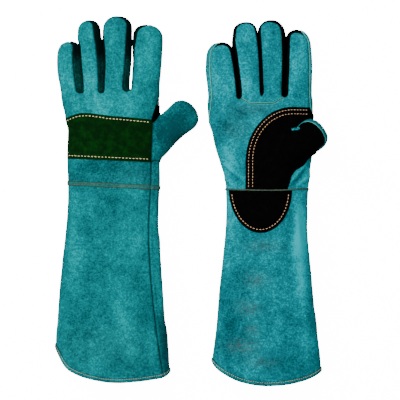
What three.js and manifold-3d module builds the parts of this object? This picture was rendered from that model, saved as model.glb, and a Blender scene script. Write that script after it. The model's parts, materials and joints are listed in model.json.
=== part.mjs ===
// A pair of long gauntlet welding gloves, cut from split cowhide and lying side by side on a table.
// The left glove lies palm down and shows its back, and the right glove lies palm up.
// Millimetres. +X is the thumb side of both gloves, +Y points to the fingertips and +Z is up.
// The table is z = 0. Each glove is made in its own frame, with its origin at the middle of the wrist seam.
import * as THREE from "three";
import { LoftGeometry } from "three/addons/geometries/LoftGeometry.js";
import { mergeVertices } from "three/addons/utils/BufferGeometryUtils.js";
import Module from "manifold-3d";

const wasm = await Module();
wasm.setup();

// Material thicknesses and the clearances between sewn layers.
const LEATHER = 1.4;
const LINING = 1.6;
const PATCH = 1.2;
const SEAM_GAP = 0.3;

// The leather clears the table by one patch, so that patches and binding are what touches it.
const GROUND = SEAM_GAP + PATCH;
const BOTTOM_SINK = 4; // how far a sleeve's round underside is flattened by the table

// Faceting.
const SLEEVE_SIDES = 12;
const DIGIT_SIDES = 8;
const DOME_ANGLES = [40, 75];
const LINING_DOME_ANGLES = [75];
const CURVE_FACETS = 5;
const ROUNDNESS = 2.6; // exponent of the flattened oval sections

// How far the joints turn upwards from the way the gloves lie, in degrees.
const CURL = { left: 35, right: 60 };
const THUMB_LIFT = { left: 35, right: 40 };
const WRIST_LIFT = { left: 30, right: 40 };
const KNUCKLE_PAST_CROTCH = 13; // a finger bends this far past the crotch
const HINGE_CLEARANCE = 0.5;
const INSIDE_OVERRUN = 2; // how far a hollow is cut past the end of its shell

// Seams, measured from a digit's or the hand's middle plane.
const FOURCHETTE_HEIGHT = 14;
const OUTER_SEAM_DROP = 5; // the back panel wraps this far past the middle plane on an outer side
const THUMB_SEAM_DROP = 4;
const SIDE_SEAM_INSET = 9; // from the thumb-side edge, on the back face

// A band across the back, tilted by some degrees. It starts at lift above the middle plane on the outer edge.
const KNUCKLE_PATCH = { low: 37, high: 97, tilt: -3, lift: 3, inset: 1 };

// The palm reinforcement's curved edge is a quarter of an ellipse. Its thumb side runs out past the hand's
// edge at the top, and comes back to the wrist below the thumb. It stops drop below the middle plane.
const PALM_PATCH = {
  arch: { x: 35, y: 40, acrossRadius: 66, alongRadius: 75 },
  pastEdge: 20,
  thumbTop: 96,
  thumbFoot: { fromEdge: -6, y: 52 },
  wristEdge: 26,
  drop: 1,
};

// The half-round wrist reinforcement, which stops drop below the middle plane.
const WRIST_PATCH = { centre: -10.7, halfWidth: 44.7, depth: 58, drop: 2 };
const PATCH_OVERRUN = 5; // how far both outlines run past the wrist seam, which trims them
const WELT = { width: 2, proud: 1.2 };
const BINDING = { width: 7, thickness: PATCH };

const TEAL = 0x21a5ab;
const BLACK = 0x0b0a0b;
const GREEN = 0x0a3212;
const TAN = 0x8d8468;
const FLEECE = 0xb9b3a4;

// A station is [y, left edge, right edge, height] of the sleeve, from below the hem to the finger crotches.
// A digit runs from base by way of bend to tip, with its width at the base and further out. The heights of
// both are measured from the underside of the leather. The middle finger and the thumb have their x first in
// each point. The other fingers have the gap to their neighbour first, taken between the sides at full width.
const LEFT = {
  side: "left",
  backUp: true,
  place: [-107, 19],
  stations: [
    [-292, -81, 79, 46],
    [-180, -78, 68, 44],
    [-72, -67, 62, 41],
    [0, -63, 63, 40],
    [94, -67, 61, 38],
    [126, -73, 63, 31],
  ],
  hem: [[-95, -205], [-84, -238], [-50, -270], [5, -270], [40, -270], [74, -271], [90, -235]],
  digits: {
    index_finger: {
      base: [0.5, 105, 16],
      bend: [3.5, 165, 12.5],
      tip: [0.5, 226, 12.3],
      widths: [37, 39],
      depth: 27,
    },
    middle_finger: {
      base: [1, 115, 15],
      bend: [5, 175, 13.5],
      tip: [8, 238.5, 12.3],
      widths: [36, 38],
      depth: 27,
    },
    ring_finger: {
      base: [0.25, 115, 15],
      bend: [1.75, 175, 13.5],
      tip: [8.25, 233, 12.1],
      widths: [26, 31.5],
      depth: 26.5,
    },
    little_finger: {
      base: [-7, 100, 16.5],
      bend: [10.5, 165, 12],
      tip: [-1.5, 204, 11.3],
      widths: [25, 28.5],
      depth: 25,
    },
    thumb: {
      base: [40, 45, 18.5],
      bend: [77, 79, 16.5],
      tip: [111, 112, 14.1],
      widths: [44, 40],
      depth: 30,
    },
  },
};
const RIGHT = {
  side: "right",
  backUp: false,
  place: [108, 15],
  stations: [
    [-292, -78, 75, 45],
    [-180, -70, 67, 43],
    [-70, -60, 58, 40],
    [0, -58, 58, 39],
    [85, -77, 62, 37],
    [125, -83, 63, 31],
  ],
  hem: [[-95, -215], [-82, -238], [-50, -270], [0, -270.5], [35, -271], [62, -258], [90, -238]],
  digits: {
    index_finger: {
      base: [-2, 104, 16],
      bend: [5, 165, 12.5],
      tip: [-0.5, 223, 12.1],
      widths: [35, 36],
      depth: 26.5,
    },
    middle_finger: {
      base: [6, 114, 15],
      bend: [7, 175, 13.5],
      tip: [7, 237, 12.3],
      widths: [30, 38],
      depth: 27,
    },
    ring_finger: {
      base: [-4.25, 114, 15],
      bend: [4.75, 175, 13.5],
      tip: [4.75, 233, 12.1],
      widths: [29, 32.5],
      depth: 26.5,
    },
    little_finger: {
      base: [2.25, 100, 16.5],
      bend: [6.25, 165, 12],
      tip: [0.75, 206.5, 11.5],
      widths: [33, 33],
      depth: 25.5,
    },
    thumb: {
      base: [18, 35, 20.5],
      bend: [45, 60, 44.5],
      tip: [73, 84, 68.5],
      widths: [44, 42],
      depth: 30,
    },
  },
};
const THUMB_HINGE = { left: 46.5, right: 44 }; // distance from the thumb's base

const UP = new THREE.Vector3(0, 0, 1);
const FAR = 700; // half the size of a cutting block
const radians = THREE.MathUtils.degToRad;

// A closed geometry as a solid that can be cut and joined.
function solid(geometry) {
  geometry.deleteAttribute("normal");
  geometry.deleteAttribute("uv");
  const merged = mergeVertices(geometry, 1e-4);
  return new wasm.Manifold(
    new wasm.Mesh({
      numProp: 3,
      vertProperties: merged.attributes.position.array,
      triVerts: new Uint32Array(merged.index.array),
    }),
  );
}

// A named mesh from a cut solid.
function meshOf(name, shape, color, roughness) {
  const cut = shape.getMesh();
  const geometry = new THREE.BufferGeometry();
  geometry.setAttribute("position", new THREE.BufferAttribute(cut.vertProperties, 3));
  geometry.setIndex(new THREE.BufferAttribute(cut.triVerts, 1));
  geometry.computeVertexNormals();
  const mesh = new THREE.Mesh(geometry, new THREE.MeshStandardMaterial({ color, roughness, metalness: 0 }));
  mesh.name = name;
  return mesh;
}

// A frame with X to the side, Y along forward and Z as near to up as it can be.
function frameAt(origin, forward) {
  const side = forward.clone().cross(UP).normalize();
  const up = side.clone().cross(forward).normalize();
  return new THREE.Matrix4().makeBasis(side, forward.clone().normalize(), up).setPosition(origin);
}

// A block given by its limits along a frame's axes; a missing limit is far away.
function block(frame, { x = [-FAR, FAR], y = [-FAR, FAR], z = [-FAR, FAR] }, tilt = 0) {
  const box = new THREE.BoxGeometry(x[1] - x[0], y[1] - y[0], z[1] - z[0]);
  box.translate((x[0] + x[1]) / 2, (y[0] + y[1]) / 2, (z[0] + z[1]) / 2);
  box.rotateX(tilt);
  return solid(box.applyMatrix4(frame));
}

function turnedAboutZ(angle) {
  return new THREE.Matrix4().makeRotationZ(angle);
}

// What lies past a hinge, and what lies before it. Above the hinge both faces lean back by half its travel.
function pastHinge(hinge, shift = HINGE_CLEARANCE) {
  const ahead = { y: [shift, FAR] };
  return block(hinge.frame, ahead).intersect(block(hinge.frame, ahead, -radians(hinge.travel) / 2));
}

function beforeHinge(hinge, shift = 0) {
  const behind = { y: [-FAR, -shift] };
  return block(hinge.frame, behind).intersect(block(hinge.frame, behind, radians(hinge.travel) / 2));
}

// One oval ring: at(across, along) places a point of the unit oval.
function ovalRing(sides, at) {
  const power = 2 / ROUNDNESS;
  return Array.from({ length: sides }, (_, i) => {
    const turn = (2 * Math.PI * i) / sides;
    const across = -Math.sign(Math.cos(turn)) * Math.abs(Math.cos(turn)) ** power;
    const along = Math.sign(Math.sin(turn)) * Math.abs(Math.sin(turn)) ** power;
    return at(across, along);
  });
}

const loft = (rings) =>
  solid(new THREE.BufferGeometry().copy(new LoftGeometry(rings, { capStart: true, capEnd: true })));

// The sleeve from below the hem to the finger crotches, with its surface moved out by grow.
function sleeve(glove, grow) {
  const last = glove.stations.length - 1;
  return loft(
    glove.stations.map(([y, left, right, height], i) => {
      const middle = (left + right) / 2;
      const half = (right - left) / 2 + grow;
      const rise = height / 2 + BOTTOM_SINK / 2;
      const centre = GROUND + height - rise;
      return ovalRing(
        SLEEVE_SIDES,
        (across, along) =>
          new THREE.Vector3(
            middle + half * across,
            i === last ? y + grow : y,
            Math.max(centre + (rise + grow) * along, GROUND - grow),
          ),
      );
    }),
  );
}

// The digits with the fingers set side by side, each one from the side of its neighbour.
function sideBySide(digits) {
  const placed = { ...digits };
  const order = [
    ["index_finger", "middle_finger", 1],
    ["ring_finger", "middle_finger", -1],
    ["little_finger", "ring_finger", -1],
  ];
  for (const [name, neighbour, way] of order) {
    const digit = digits[name];
    const beside = placed[neighbour];
    const apart = (digit.widths[1] + beside.widths[1]) / 2;
    const moved = (key) => [beside[key][0] + way * (apart + digit[key][0]), ...digit[key].slice(1)];
    placed[name] = { ...digit, base: moved("base"), bend: moved("bend"), tip: moved("tip") };
  }
  return placed;
}

// The middle line of a digit, which runs straight on past both ends.
class DigitLine {
  constructor({ base, bend, tip }) {
    const points = [base, bend, tip].map(([x, y, height]) => new THREE.Vector3(x, y, GROUND + height));
    this.curve = new THREE.QuadraticBezierCurve3(...points);
    this.length = this.curve.getLength();
  }
  frame(distance) {
    const share = THREE.MathUtils.clamp(distance / this.length, 0, 1);
    const forward = this.curve.getTangentAt(share);
    const origin = this.curve.getPointAt(share).addScaledVector(forward, distance - share * this.length);
    return frameAt(origin, forward);
  }
}

// A digit as a tapered tube with a domed tip, with its surface moved out by grow.
function digitSolid(digit, grow, domeAngles = DOME_ANGLES) {
  const line = new DigitLine(digit);
  const [baseWidth, fullWidth] = digit.widths;
  const dome = fullWidth / 2;
  const straight = line.length - dome;
  const ringAt = (distance, width, scale) => {
    const frame = line.frame(distance);
    return ovalRing(DIGIT_SIDES, (across, along) => {
      const half = width / 2 + grow;
      const point = new THREE.Vector3(half * scale * across, 0, (digit.depth / 2 + grow) * scale * along);
      point.applyMatrix4(frame);
      point.z = Math.max(point.z, -grow);
      return point;
    });
  };
  const rings = [
    ringAt(-grow, baseWidth, 1),
    ringAt(0.5 * straight, fullWidth, 1),
    ringAt(straight, fullWidth, 1),
    ...domeAngles.map((angle) => {
      const turn = radians(angle);
      return ringAt(straight + (dome + grow) * Math.sin(turn), fullWidth, Math.cos(turn));
    }),
  ];
  return loft(rings);
}

// A flat outline on the table as a tall block.
function tallBlock(shape) {
  const settings = { depth: FAR, bevelEnabled: false, curveSegments: CURVE_FACETS };
  return solid(new THREE.ExtrudeGeometry(shape, settings).translate(0, 0, -FAR / 2));
}

// Everything on the finger side of the hem, moved towards the fingers by shift.
function aboveHem(glove, shift) {
  const [start, c1, c2, middle, c3, c4, end] = glove.hem.map(([x, y]) => [x, y + shift]);
  const shape = new THREE.Shape();
  shape.moveTo(start[0], FAR);
  shape.lineTo(...start);
  shape.bezierCurveTo(...c1, ...c2, ...middle);
  shape.bezierCurveTo(...c3, ...c4, ...end);
  shape.lineTo(end[0], FAR);
  shape.closePath();
  return tallBlock(shape);
}

// The outline of the palm reinforcement, whose curved edge runs from the wrist to below the index finger.
function palmPatchOutline(edge) {
  const { arch, pastEdge, thumbTop, thumbFoot, wristEdge } = PALM_PATCH;
  const shape = new THREE.Shape();
  shape.moveTo(arch.x - arch.acrossRadius, -PATCH_OVERRUN);
  shape.lineTo(arch.x - arch.acrossRadius, arch.y);
  shape.absellipse(arch.x, arch.y, arch.acrossRadius, arch.alongRadius, Math.PI, Math.PI / 2, true);
  shape.lineTo(edge + pastEdge, arch.y + arch.alongRadius);
  shape.lineTo(edge + pastEdge, thumbTop);
  shape.lineTo(edge + thumbFoot.fromEdge, thumbFoot.y);
  shape.lineTo(wristEdge, -PATCH_OVERRUN);
  shape.closePath();
  return shape;
}

// The half-round wrist reinforcement, which hangs from the wrist seam.
function wristPatchOutline() {
  const { centre, halfWidth, depth } = WRIST_PATCH;
  const shape = new THREE.Shape();
  shape.moveTo(centre - halfWidth, PATCH_OVERRUN);
  shape.lineTo(centre - halfWidth, 0);
  shape.absellipse(centre, 0, halfWidth, depth, Math.PI, 2 * Math.PI, false);
  shape.lineTo(centre + halfWidth, PATCH_OVERRUN);
  shape.closePath();
  return shape;
}

function makeGlove(glove) {
  const group = new THREE.Group();
  group.position.set(...glove.place, 0);
  const back = glove.backUp ? 1 : -1; // the sign of z on the side of the back panels
  const add = (name, shape, color, roughness = 0.95) =>
    group.add(meshOf(`${glove.side}_${name}`, shape, color, roughness));

  // A range of z, counted towards the back panels.
  const zRange = (low, high) => (back > 0 ? [low, high] : [-high, -low]);
  const half = SEAM_GAP / 2;

  // The wrist hinge and the middle planes of hand and cuff.
  const [hemY, , , hemHeight] = glove.stations[0];
  const wristIndex = glove.stations.findIndex(([y]) => y === 0);
  const [, , wristEdge, wristHeight] = glove.stations[wristIndex];
  const [crotchY, , crotchEdge, crotchHeight] = glove.stations.at(-1);
  const wristPoint = new THREE.Vector3(0, 0, GROUND + wristHeight / 2);
  const alongHand = new THREE.Vector3(0, crotchY, (crotchHeight - wristHeight) / 2);
  const alongCuff = new THREE.Vector3(0, -hemY, (wristHeight - hemHeight) / 2);
  const handFrame = frameAt(wristPoint, alongHand);
  const cuffFrame = frameAt(wristPoint, alongCuff);
  const wrist = { frame: frameAt(wristPoint, new THREE.Vector3(0, 1, 0)), travel: WRIST_LIFT[glove.side] };

  // Each digit's line, hinge and solid.
  const digits = Object.entries(sideBySide(glove.digits)).map(([name, digit]) => {
    const line = new DigitLine(digit);
    const isThumb = name === "thumb";
    const slant = line.curve.getTangentAt(0).y;
    const knuckle = (crotchY + KNUCKLE_PAST_CROTCH - digit.base[1]) / slant;
    const distance = isThumb ? THUMB_HINGE[glove.side] : knuckle;
    const travel = isThumb ? THUMB_LIFT[glove.side] : CURL[glove.side];
    return { name, digit, hinge: { frame: line.frame(distance), travel }, isThumb };
  });

  // The hand with its finger stubs, with its surface moved out by grow; open digits run on past their hinges.
  const hand = (grow, open = false) =>
    digits
      .reduce((sum, { digit, hinge }) => {
        const tube = digitSolid(digit, grow);
        return sum.add(open ? tube : tube.intersect(beforeHinge(hinge)));
      }, sleeve(glove, grow))
      .intersect(pastHinge(wrist, open ? -INSIDE_OVERRUN : HINGE_CLEARANCE));
  const cuffEnd = beforeHinge(wrist, WELT.width + SEAM_GAP);

  // The back panel stops short of the thumb-side edge; the palm panel wraps round to meet it.
  const seamAngle = Math.atan2(glove.stations[0][2] - wristEdge, -hemY);
  const seamX = Math.min(wristEdge, crotchEdge) - SIDE_SEAM_INSET;
  const toSeam = new THREE.Matrix4().makeTranslation(seamX, 0, 0);
  const handSeam = handFrame.clone().multiply(toSeam);
  const cuffSeam = cuffFrame.clone().multiply(toSeam).multiply(turnedAboutZ(seamAngle));
  const backSide = (frame) => block(frame, { x: [-FAR, -half], z: zRange(half, FAR) });
  const palmSide = (frame) => block(frame, { z: zRange(-FAR, -half) }).add(block(frame, { x: [half, FAR] }));

  // Hand.
  const handShell = hand(0).subtract(hand(-LEATHER, true));
  add("back_of_hand", handShell.intersect(backSide(handSeam)), TEAL);
  add("palm", handShell.intersect(palmSide(handSeam)), TEAL);
  const liningTop = -LEATHER - SEAM_GAP;
  const handLining = digits.reduce(
    (rest, { digit }) => rest.subtract(digitSolid(digit, liningTop - LINING)),
    sleeve(glove, liningTop).subtract(sleeve(glove, liningTop - LINING)).intersect(pastHinge(wrist)),
  );
  add("hand_lining", handLining, FLEECE);

  // Reinforcements lie on the leather.
  const handPatch = hand(SEAM_GAP + PATCH).subtract(hand(SEAM_GAP, true));
  const knuckleBand = block(handSeam.clone().multiply(turnedAboutZ(radians(KNUCKLE_PATCH.tilt))), {
    x: [-FAR, -KNUCKLE_PATCH.inset],
    y: [KNUCKLE_PATCH.low, KNUCKLE_PATCH.high],
    z: zRange(KNUCKLE_PATCH.lift, FAR),
  });
  add("knuckle_patch", handPatch.intersect(knuckleBand), GREEN, 0.8);
  const palmFace = block(handSeam, { z: zRange(-FAR, -PALM_PATCH.drop) });
  const palmPatch = handPatch.intersect(tallBlock(palmPatchOutline(crotchEdge))).intersect(palmFace);
  const thumb = digits.find(({ isThumb }) => isThumb);
  const thumbRoot = digitSolid(thumb.digit, SEAM_GAP + PATCH + SEAM_GAP).intersect(
    pastHinge(thumb.hinge, -SEAM_GAP),
  );
  const largest = (shape) => shape.decompose().sort((a, b) => b.volume() - a.volume())[0];
  add("palm_patch", largest(palmPatch.subtract(thumbRoot)), BLACK, 0.75);

  // Fingers: a back and a front, with a fourchette between them on each side that faces another finger.
  for (const { name, digit, hinge, isThumb } of digits) {
    const reach = digitSolid(digit, 0).intersect(pastHinge(hinge));
    const shell = reach
      .subtract(digitSolid(digit, -LEATHER))
      .subtract(hand(SEAM_GAP + PATCH + SEAM_GAP));
    const frame = hinge.frame;
    const outerSide = { index_finger: 1, little_finger: -1 }[name];
    const drop = isThumb ? THUMB_SEAM_DROP : OUTER_SEAM_DROP;
    const strip = FOURCHETTE_HEIGHT / 2;
    let backPart, frontPart;
    if (isThumb) {
      backPart = block(frame, { z: zRange(-drop + half, FAR) });
      frontPart = block(frame, { z: zRange(-FAR, -drop - half) });
    } else {
      backPart = block(frame, { z: zRange(strip + half, FAR) });
      frontPart = block(frame, { z: zRange(-FAR, -strip - half) });
      let between = block(frame, { z: [-strip + half, strip - half] });
      if (outerSide) {
        const outer = outerSide > 0 ? [half, FAR] : [-FAR, -half];
        const inner = outerSide > 0 ? [-FAR, -half] : [half, FAR];
        backPart = backPart.add(block(frame, { x: outer, z: zRange(-drop + half, FAR) }));
        frontPart = frontPart.add(block(frame, { x: outer, z: zRange(-FAR, -drop - half) }));
        between = block(frame, { x: inner, z: [-strip + half, strip - half] });
      }
      add(`${name}_fourchette`, shell.intersect(between), BLACK);
    }
    add(`${name}_back`, shell.intersect(backPart), TEAL);
    add(`${name}_front`, shell.intersect(frontPart), isThumb ? BLACK : TEAL);
    const lining = digitSolid(digit, liningTop, LINING_DOME_ANGLES)
      .subtract(digitSolid(digit, liningTop - LINING, LINING_DOME_ANGLES))
      .intersect(pastHinge(hinge, HINGE_CLEARANCE + SEAM_GAP));
    add(`${name}_lining`, lining, FLEECE);
  }

  // Cuff.
  const layer = (outer, inner) => sleeve(glove, outer).subtract(sleeve(glove, inner));
  const cuffShell = layer(0, -LEATHER).intersect(cuffEnd).intersect(aboveHem(glove, 0));
  add("cuff_back", cuffShell.intersect(backSide(cuffSeam)), TEAL);
  add("cuff_palm", cuffShell.intersect(palmSide(cuffSeam)), TEAL);
  const cuffLining = layer(liningTop, liningTop - LINING).intersect(cuffEnd);
  add("cuff_lining", cuffLining.intersect(aboveHem(glove, 0)), FLEECE);
  const wallDepth = LEATHER + SEAM_GAP + LINING;
  const weltRing = layer(WELT.proud, -LEATHER).intersect(beforeHinge(wrist, 0));
  add("wrist_welt", weltRing.subtract(beforeHinge(wrist, WELT.width)), TAN);
  const wristPatch = layer(SEAM_GAP + PATCH, SEAM_GAP)
    .intersect(cuffEnd)
    .intersect(tallBlock(wristPatchOutline()));
  const cuffPalmFace = block(cuffFrame, { z: zRange(-FAR, -WRIST_PATCH.drop) });
  add("wrist_patch", wristPatch.intersect(cuffPalmFace), BLACK, 0.75);
  const bindingDepth = wallDepth + SEAM_GAP + BINDING.thickness;
  const foldedOver = layer(SEAM_GAP + BINDING.thickness, -bindingDepth);
  const wall = layer(SEAM_GAP, -wallDepth - SEAM_GAP).intersect(aboveHem(glove, -SEAM_GAP));
  const binding = foldedOver
    .intersect(aboveHem(glove, -SEAM_GAP - BINDING.thickness))
    .subtract(aboveHem(glove, BINDING.width))
    .subtract(wall);
  add("hem_binding", binding, TEAL);

  // Where the joints are, in the pair's frame.
  group.updateMatrixWorld(true);
  const pivots = [["wrist", wrist], ...digits.map(({ name, hinge }) => [name, hinge])];
  group.userData.hinges = Object.fromEntries(
    pivots.map(([name, { frame, travel }]) => {
      const centre = new THREE.Vector3().setFromMatrixPosition(frame).add(group.position);
      const axis = new THREE.Vector3().setFromMatrixColumn(frame, 0);
      return [`${glove.side}_${name}`, { centre: centre.toArray(), axis: axis.toArray(), travel }];
    }),
  );
  return group;
}

const pair = new THREE.Group();
pair.add(makeGlove(LEFT), makeGlove(RIGHT));
export default pair;
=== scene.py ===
# %% [markdown]
# A pair of long suede welding gloves. The left one lies palm down and the right one palm up.
# Each glove is made as one distance field: a flattened sleeve and five round-ended digits that
# melt into each other. The field is turned into a fine surface, the surface is cut along the
# seams, and each leather panel becomes its own piece with a groove where it is sewn.

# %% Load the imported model
import json
import math
import bpy
import numpy as np
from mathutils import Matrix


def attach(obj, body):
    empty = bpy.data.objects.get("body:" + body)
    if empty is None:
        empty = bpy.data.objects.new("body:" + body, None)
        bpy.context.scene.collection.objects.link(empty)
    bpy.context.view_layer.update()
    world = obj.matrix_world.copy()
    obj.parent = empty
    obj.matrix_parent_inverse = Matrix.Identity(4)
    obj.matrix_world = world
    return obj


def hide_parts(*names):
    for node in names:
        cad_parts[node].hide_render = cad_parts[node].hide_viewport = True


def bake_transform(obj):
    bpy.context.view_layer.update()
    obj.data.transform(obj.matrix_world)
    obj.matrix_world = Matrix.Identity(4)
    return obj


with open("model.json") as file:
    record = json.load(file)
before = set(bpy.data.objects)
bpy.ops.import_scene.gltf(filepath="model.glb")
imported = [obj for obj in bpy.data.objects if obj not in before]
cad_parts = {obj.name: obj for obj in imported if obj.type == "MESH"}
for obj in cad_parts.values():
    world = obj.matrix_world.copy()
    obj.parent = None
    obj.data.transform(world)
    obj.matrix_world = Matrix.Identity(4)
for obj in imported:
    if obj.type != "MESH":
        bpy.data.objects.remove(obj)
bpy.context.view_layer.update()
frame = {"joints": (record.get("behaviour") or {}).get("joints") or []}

import openvdb
from mathutils import Vector
from mathutils.bvhtree import BVHTree

MM = 0.001
VOXEL = 1.6
JOINTS = {j["name"]: j for j in frame["joints"]}

# %% [markdown]
# ## Sizes
# Each glove has its own frame in millimetres. Its origin is on the table below the wrist hinge,
# +X is the thumb side and +Y runs to the fingertips. `back` is +1 where the back is up.
# A station is [y, left edge, right edge, height]. A digit has a base, a tip, the length of its
# round end and its own stations: [share of its length, sideways bow, half width, half depth].
# Its roll is [share of its length, degrees], and `outer` is the side on which its back wraps
# over: +1 the thumb side, -1 the little finger's side. The hem's points are [x, y].

# %% The two gloves' sizes
def digit_sizes(base, tip, dome, stations, roll=((0, 0), (1, 0)), outer=0):
    return {"base": base, "tip": tip, "dome": dome, "stations": stations, "roll": roll, "outer": outer}


LEFT = {
    "side": "left",
    "back": 1,
    "strip": 7,
    "thumb_drop": 8.5,
    "thumb_root": 0,
    "edge_turn": 13,
    "welt": 3,
    "stations": [[-290, -83, 82, 46], [-225, -80, 77.5, 45], [-174, -77, 71, 44], [-124, -73, 66.5, 43],
        [-74, -67.5, 63.8, 41], [-24, -63.5, 63.5, 40], [10, -63.3, 65.5, 40], [43, -64, 64, 41],
        [85, -63.5, 62.5, 39], [119, -66.5, 62, 33], [140, -70, 63, 28]],
    "crotches": [[-46.5, 125.7], [-20, 125.7], [22.5, 132]],
    "hem": [[-95, -190], [-80, -223], [-66, -248.5], [-48, -259.6], [-21, -267.3], [8, -270],
        [50, -266.8], [74, -262], [86, -249]],
    "side_seam": [[-285, 74], [-258, 69.5], [-201, 61], [-137, 54], [-49, 50], [-5, 52.5], [55, 54],
        [94, 55.5], [130, 58]],
    "wrist_line": [[-66, 5.6], [0, 2.2], [66, -1.2]],
    "digits": {
        "index_finger": digit_sizes(
            [42, 100, 17], [47.5, 227, 13.8], 20, outer=1, roll=[[0, 12], [0.7, 10], [0.86, -6], [1, -9]],
            stations=[[0, 0, 18, 14], [0.35, 0.8, 19.6, 13.6], [0.6, 1.6, 20.4, 13.5],
                      [0.8, 1, 21.2, 13.4], [1, 0, 20, 13]]),
        "middle_finger": digit_sizes(
            [1, 100, 17], [7, 239, 13.8], 17, roll=[[0, 22], [0.7, 18], [1, 10]],
            stations=[[0, 0, 18.5, 14], [0.3, -0.4, 19.6, 13.6], [0.55, 0.6, 20.2, 13.5],
                      [0.8, -0.8, 21, 13.4], [1, 0, 18.5, 13]]),
        "ring_finger": digit_sizes(
            [-32, 100, 17], [-33.5, 233.5, 13.6], 14, roll=[[0, 24], [0.6, 27], [1, 32]],
            stations=[[0, 0, 15, 13.5], [0.33, 2, 16.8, 13.4], [0.5, 2.2, 18, 13.2], [0.72, 1, 18, 13],
                      [0.89, -0.8, 15.8, 13], [1, 0, 14, 13]]),
        "little_finger": digit_sizes(
            [-55, 98, 17], [-61.5, 204, 12.8], 14, outer=-1, roll=[[0, 26], [0.4, 36], [1, 34]],
            stations=[[0, 0, 11.5, 12.8], [0.4, -0.6, 15.8, 12.6], [0.65, -1.9, 16.8, 12.5],
                      [0.85, -1.4, 16, 12.2], [1, 1.2, 14.2, 12]]),
        "thumb": digit_sizes(
            [34, 41, 21], [110.5, 112.5, 15.6], 19,
            stations=[[0, 0, 24, 15.5], [0.35, 0, 23, 15], [0.6, 0, 21.5, 14.6], [0.8, 0.5, 22, 14.4],
                      [1, 0.5, 21.5, 14]]),
    },
}
RIGHT = {
    "side": "right",
    "back": -1,
    "strip": 8.6,
    "thumb_drop": 5.5,
    "thumb_root": 14,
    "edge_turn": 0,
    "welt": 1.1,
    "stations": [[-290, -80, 79, 45], [-237, -77, 74.5, 44], [-196, -71.7, 69.3, 43],
        [-145, -67.5, 63.7, 42], [-95, -62, 59.5, 41], [-45, -57.7, 56.7, 40], [-3, -57.7, 56.7, 39],
        [14, -59, 58, 39], [39, -66, 61, 39.5], [56, -71.7, 62, 40], [89, -78.5, 62, 38],
        [119, -82.5, 62, 33], [140, -83, 62, 28]],
    "crotches": [[-37, 122.7], [-11, 126.5], [20, 125.5]],
    "hem": [[-95, -205], [-85, -225], [-76, -241], [-66, -251.4], [-45, -262.6], [-24, -268.2],
        [-2, -270.3], [27, -268.4], [56, -261.5], [76, -251.5], [92, -238]],
    "side_seam": [[-285, 70], [-200, 61], [-95, 49], [0, 47], [60, 54], [130, 56]],
    "wrist_line": [[-66, 1], [0, -0.6], [66, 1.5]],
    "digits": {
        "index_finger": digit_sizes(
            [42, 100, 17], [42, 224, 13.6], 22, outer=1,
            stations=[[0, -1, 21.2, 14], [0.35, -1.2, 22, 13.6], [0.65, 0.2, 20.6, 13.3],
                      [0.85, 0.2, 18.6, 13.2], [1, -0.8, 17.2, 13]]),
        "middle_finger": digit_sizes(
            [4, 100, 17], [5.6, 237.5, 13.8], 17, roll=[[0, -6], [1, -8]],
            stations=[[0, 0, 18.5, 14], [0.3, 0.2, 20.3, 13.6], [0.6, 0.4, 21.2, 13.5],
                      [0.85, 0.4, 20, 13.4], [1, 0, 17, 13]]),
        "ring_finger": digit_sizes(
            [-25, 100, 17], [-31, 235, 13.6], 13,
            stations=[[0, -0.5, 18, 13.5], [0.3, -0.4, 19.5, 13.4], [0.6, -0.6, 20, 13.2],
                      [0.85, -0.3, 18, 13], [1, 0, 14.5, 13]]),
        "little_finger": digit_sizes(
            [-61, 98, 17], [-65.5, 206.5, 13], 17, outer=-1,
            stations=[[0, 2, 21.3, 12.8], [0.4, 1.6, 22.4, 12.7], [0.7, 0, 21.2, 12.6],
                      [0.88, -0.3, 18.4, 12.4], [1, 1, 15.4, 12]]),
        "thumb": digit_sizes(
            [19, 40, 24], [72, 85, 68], 19,
            stations=[[0, 0, 19, 16], [0.35, 0, 20.5, 15.5], [0.6, 0, 21.5, 15], [0.8, 0, 22.5, 14.6],
                      [1, 0, 22, 14]]),
    },
}
GROUND = 1.5
SINK = 4
CROTCH_ROUND = 7
THUMB_ROUND = 7
FINGER_GAP = 0.7
FINGER_LEAN = 0.35
LINING_DEPTH = 3.6
LINING_EDGE = 3
LIFT = 1.2
WALL = 1.6
OUTER_DROP = 9.5
LITTLE_SIDE_DROP = 4
FINGER_SPLIT = -5
THUMB_SPLIT = 8
FINGER_BEND = 27
THUMB_BEND = 26
WRIST_BEND = 38
HEM_BAND = 5.6


# %% [markdown]
# ## The distance field
# `oval` gives roughly the distance to a flattened round form. `melt` joins two fields with a
# fillet, and `press` keeps one field inside another with a rounded edge.

# %% Field tools
def spline(at, stops, values):
    """A smooth curve through (stops, values), held level past both ends."""
    stops, values = np.asarray(stops, float), np.asarray(values, float)
    slopes = np.gradient(values, stops)
    at = np.clip(at, stops[0], stops[-1])
    i = np.clip(np.searchsorted(stops, at) - 1, 0, len(stops) - 2)
    h = stops[i + 1] - stops[i]
    t = (at - stops[i]) / h
    start = (2 * t**3 - 3 * t**2 + 1) * values[i] + (t**3 - 2 * t**2 + t) * h * slopes[i]
    return start + (3 * t**2 - 2 * t**3) * values[i + 1] + (t**3 - t**2) * h * slopes[i + 1]


def curve(table, at):
    """A spline through the table's rows of [stop, value]."""
    return spline(at, *np.array(table, float).T)


def smoothstep(low, high, x):
    t = np.clip((x - low) / (high - low), 0, 1)
    return t * t * (3 - 2 * t)


def oval(parts, halves, power):
    size = sum(np.abs(p / h) ** power for p, h in zip(parts, halves)) ** (1 / power)
    reach = np.sqrt(sum(p**2 for p in parts))
    return reach - reach / np.maximum(size, 1e-4)


def melt(a, b, size):
    blend = np.maximum(size - np.abs(a - b), 0) / size
    return np.minimum(a, b) - blend**2 * size / 4


def press(a, b, size):
    return -melt(-a, -b, size)


def unit(rows):
    return rows / np.maximum(np.linalg.norm(rows, axis=1, keepdims=True), 1e-9)


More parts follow.
